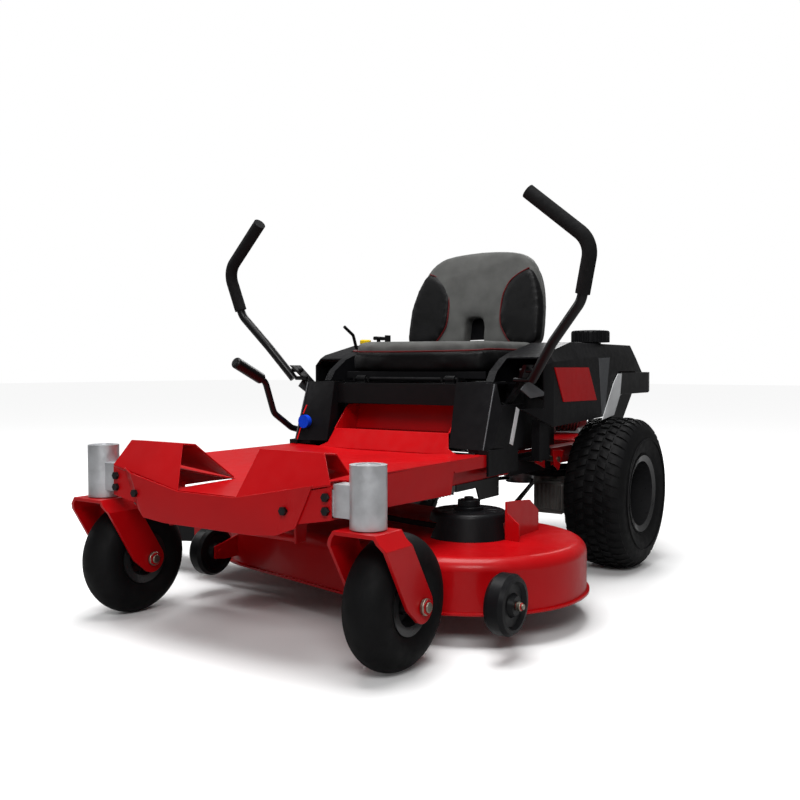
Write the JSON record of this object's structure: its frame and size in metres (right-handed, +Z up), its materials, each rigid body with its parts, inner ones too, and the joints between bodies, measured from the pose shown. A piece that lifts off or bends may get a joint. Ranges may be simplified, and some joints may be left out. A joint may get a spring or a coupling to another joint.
{
  "type": "zero turn mower",
  "caption": "Ride-on zero-turn lawn mower with a side-discharge two-blade deck, swinging control levers, swivelling front casters and a tilting seat.",
  "frame": {"origin": "bottom centre of the whole machine's box, on the ground under the tyres", "axes": "+Z up, -Y is the machine's front (the way it drives), +X is the operator's left"},
  "size_m": [1.4235, 1.8062, 1.049],
  "materials": {
    "red_paint": "gloss",
    "black_paint": "satin",
    "black_plastic": "satin",
    "cast_silver": "satin",
    "engine_metal": "matte",
    "dark_casting": "matte",
    "steel": "satin",
    "zinc": "satin",
    "tyre": "matte",
    "rim_black": "satin",
    "belt": "matte",
    "grip_foam": "matte",
    "seat_vinyl": "matte",
    "blue_plastic": "gloss",
    "yellow_plastic": "gloss",
    "tank_plastic": "matte"
  },
  "bodies": {
    "frame": {"main_frame": "red_paint", "front_beam": "red_paint", "front_panels": "red_paint", "floor_pan": "red_paint", "toe_panel": "red_paint", "seat_box": "black_paint", "consoles": "black_plastic", "fenders": "black_plastic", "caster_housings": "cast_silver", "transaxles": "dark_casting", "drive_belt": "belt", "fuel_tank": "tank_plastic", "battery": "black_plastic", "fasteners": "zinc", "engine_block": "engine_metal", "engine_shroud": "black_plastic", "air_filter": "black_plastic", "muffler": "steel", "engine_guard": "black_paint"},
    "fuel_cap": {"fuel_cap": "black_plastic"},
    "pto": {"pto_pulley": "steel"},
    "deck": {"deck_shell": "red_paint", "spindle_housings": "engine_metal", "belt_covers": "black_plastic", "deck_belt": "belt"},
    "blade_left": {"spindle_left": "steel"},
    "blade_right": {"spindle_right": "steel"},
    "deflector": {"discharge_deflector": "black_plastic"},
    "scalp_wheel_left": {"anti_scalp_left": "black_plastic"},
    "scalp_wheel_right": {"anti_scalp_right": "black_plastic"},
    "lift_lever": {"lift_lever": "black_paint"},
    "throttle": {"throttle_lever": "black_plastic"},
    "choke": {"choke_lever": "black_paint"},
    "pto_switch": {"pto_knob": "yellow_plastic"},
    "key": {"ignition_key": "black_plastic"},
    "height_dial": {"height_dial": "blue_plastic"},
    "seat_carrier": {"seat_frame": "black_paint"},
    "seat": {"seat_pan": "black_paint", "seat_cushion": "seat_vinyl", "seat_back": "seat_vinyl"},
    "fork_left": {"caster_fork_left": "red_paint"},
    "caster_wheel_left": {"caster_rim_left": "rim_black", "caster_tyre_left": "tyre"},
    "rear_wheel_left": {"rear_rim_left": "rim_black", "rear_tyre_left": "tyre", "wheel_hub_left": "zinc"},
    "hydro_fan_left": {"hydro_fan_left": "black_plastic"},
    "lever_pivot_left": {"lever_pivot_left": "black_paint"},
    "control_lever_left": {"control_lever_left": "black_paint", "lever_grip_left": "grip_foam"},
    "fork_right": {"caster_fork_right": "red_paint"},
    "caster_wheel_right": {"caster_rim_right": "rim_black", "caster_tyre_right": "tyre"},
    "rear_wheel_right": {"rear_rim_right": "rim_black", "rear_tyre_right": "tyre", "wheel_hub_right": "zinc"},
    "hydro_fan_right": {"hydro_fan_right": "black_plastic"},
    "lever_pivot_right": {"lever_pivot_right": "black_paint"},
    "control_lever_right": {"control_lever_right": "black_paint", "lever_grip_right": "grip_foam"}
  },
  "joints": [
    {"name": "caster_swivel_left", "type": "hinge", "parent": "frame", "child": "fork_left", "pos_m": [0.50525, -0.8479, 0.3], "axis": [0, 0, 1], "continuous": true},
    {"name": "caster_spin_left", "type": "hinge", "parent": "fork_left", "child": "caster_wheel_left", "pos_m": [0.50525, -0.7599, 0.1397], "axis": [1, 0, 0], "continuous": true},
    {"name": "rear_wheel_spin_left", "type": "hinge", "parent": "frame", "child": "rear_wheel_left", "pos_m": [0.52624, 0.4131, 0.2286], "axis": [1, 0, 0], "continuous": true},
    {"name": "lever_fore_aft_left", "type": "hinge", "parent": "frame", "child": "lever_pivot_left", "pos_m": [0.38325, -0.1149, 0.43], "axis": [1, 0, 0], "range_deg": [-12, 12]},
    {"name": "lever_swing_in_left", "type": "hinge", "parent": "lever_pivot_left", "child": "control_lever_left", "pos_m": [0.41924, -0.1149, 0.505], "axis": [0, -1, 0], "range_deg": [0, 33]},
    {"name": "hydro_fan_spin_left", "type": "hinge", "parent": "frame", "child": "hydro_fan_left", "pos_m": [0.31424, 0.3731, 0.274], "axis": [0, 0, 1], "continuous": true},
    {"name": "blade_spin_left", "type": "hinge", "parent": "deck", "child": "blade_left", "pos_m": [0.41724, -0.3069, 0.088], "axis": [0, 0, 1], "continuous": true},
    {"name": "scalp_spin_left", "type": "hinge", "parent": "deck", "child": "scalp_wheel_left", "pos_m": [0.66124, -0.5769, 0.117], "axis": [1, 0, 0], "continuous": true},
    {"name": "caster_swivel_right", "type": "hinge", "parent": "frame", "child": "fork_right", "pos_m": [-0.28675, -0.8479, 0.3], "axis": [0, 0, 1], "continuous": true},
    {"name": "caster_spin_right", "type": "hinge", "parent": "fork_right", "child": "caster_wheel_right", "pos_m": [-0.28675, -0.7599, 0.1397], "axis": [1, 0, 0], "continuous": true},
    {"name": "rear_wheel_spin_right", "type": "hinge", "parent": "frame", "child": "rear_wheel_right", "pos_m": [-0.30776, 0.4131, 0.2286], "axis": [1, 0, 0], "continuous": true},
    {"name": "lever_fore_aft_right", "type": "hinge", "parent": "frame", "child": "lever_pivot_right", "pos_m": [-0.16476, -0.1149, 0.43], "axis": [1, 0, 0], "range_deg": [-12, 12]},
    {"name": "lever_swing_in_right", "type": "hinge", "parent": "lever_pivot_right", "child": "control_lever_right", "pos_m": [-0.20075, -0.1149, 0.505], "axis": [0, 1, 0], "range_deg": [0, 33]},
    {"name": "hydro_fan_spin_right", "type": "hinge", "parent": "frame", "child": "hydro_fan_right", "pos_m": [-0.09576, 0.3731, 0.274], "axis": [0, 0, 1], "continuous": true},
    {"name": "blade_spin_right", "type": "hinge", "parent": "deck", "child": "blade_right", "pos_m": [-0.11976, -0.1969, 0.088], "axis": [0, 0, 1], "continuous": true},
    {"name": "scalp_spin_right", "type": "hinge", "parent": "deck", "child": "scalp_wheel_right", "pos_m": [-0.25176, -0.5309, 0.117], "axis": [1, 0, 0], "continuous": true},
    {"name": "pto_spin", "type": "hinge", "parent": "frame", "child": "pto", "pos_m": [0.10924, 0.6031, 0.213], "axis": [0, 0, 1], "continuous": true},
    {"name": "deck_lift", "type": "slide", "parent": "frame", "child": "deck", "axis": [0, 0, 1], "range_m": [-0.038, 0.013], "deforming": ["deck_belt"]},
    {"name": "lift_lever_tilt", "type": "hinge", "parent": "frame", "child": "lift_lever", "pos_m": [-0.23075, -0.0569, 0.392], "axis": [-1, 0, 0], "range_deg": [-22.56, 7.85]},
    {"name": "deflector_hinge", "type": "hinge", "parent": "deck", "child": "deflector", "pos_m": [-0.41975, -0.3449, 0.163], "axis": [0, 1, 0], "range_deg": [0, 70], "stiffness_Nm_per_rad": 2, "springref_deg": -11.46},
    {"name": "seat_tilt", "type": "hinge", "parent": "frame", "child": "seat_carrier", "pos_m": [0.10924, -0.1319, 0.577], "axis": [1, 0, 0], "range_deg": [0, 60]},
    {"name": "seat_slide", "type": "slide", "parent": "seat_carrier", "child": "seat", "axis": [0, 1, 0], "range_m": [-0.03, 0.06]},
    {"name": "throttle_tilt", "type": "hinge", "parent": "frame", "child": "throttle", "pos_m": [-0.20075, 0.1731, 0.647], "axis": [1, 0, 0], "range_deg": [-18, 18]},
    {"name": "choke_tilt", "type": "hinge", "parent": "frame", "child": "choke", "pos_m": [-0.20075, 0.0611, 0.647], "axis": [1, 0, 0], "range_deg": [-5, 25]},
    {"name": "pto_knob_pull", "type": "slide", "parent": "frame", "child": "pto_switch", "axis": [0, 0, 1], "range_m": [0, 0.012]},
    {"name": "key_turn", "type": "hinge", "parent": "frame", "child": "key", "pos_m": [-0.20875, 0.2371, 0.681], "axis": [0, 0, 1], "range_deg": [0, 80]},
    {"name": "height_dial_turn", "type": "hinge", "parent": "frame", "child": "height_dial", "pos_m": [-0.17075, -0.2269, 0.453], "axis": [0, 1, 0], "continuous": true},
    {"name": "fuel_cap_turn", "type": "hinge", "parent": "frame", "child": "fuel_cap", "pos_m": [0.45425, 0.3731, 0.681], "axis": [0, 0, 1], "range_deg": [0, 120]}
  ],
  "couplings": [
    {"joint": "hydro_fan_spin_left", "follows": "blade_spin_left", "ratio": 1.2727},
    {"joint": "hydro_fan_spin_right", "follows": "blade_spin_left", "ratio": 1.2727},
    {"joint": "pto_spin", "follows": "blade_spin_left", "ratio": 1.4},
    {"joint": "blade_spin_right", "follows": "blade_spin_left", "ratio": 1},
    {"joint": "lift_lever_tilt", "follows": "deck_lift", "rad_per_m": 10.27}
  ]
}
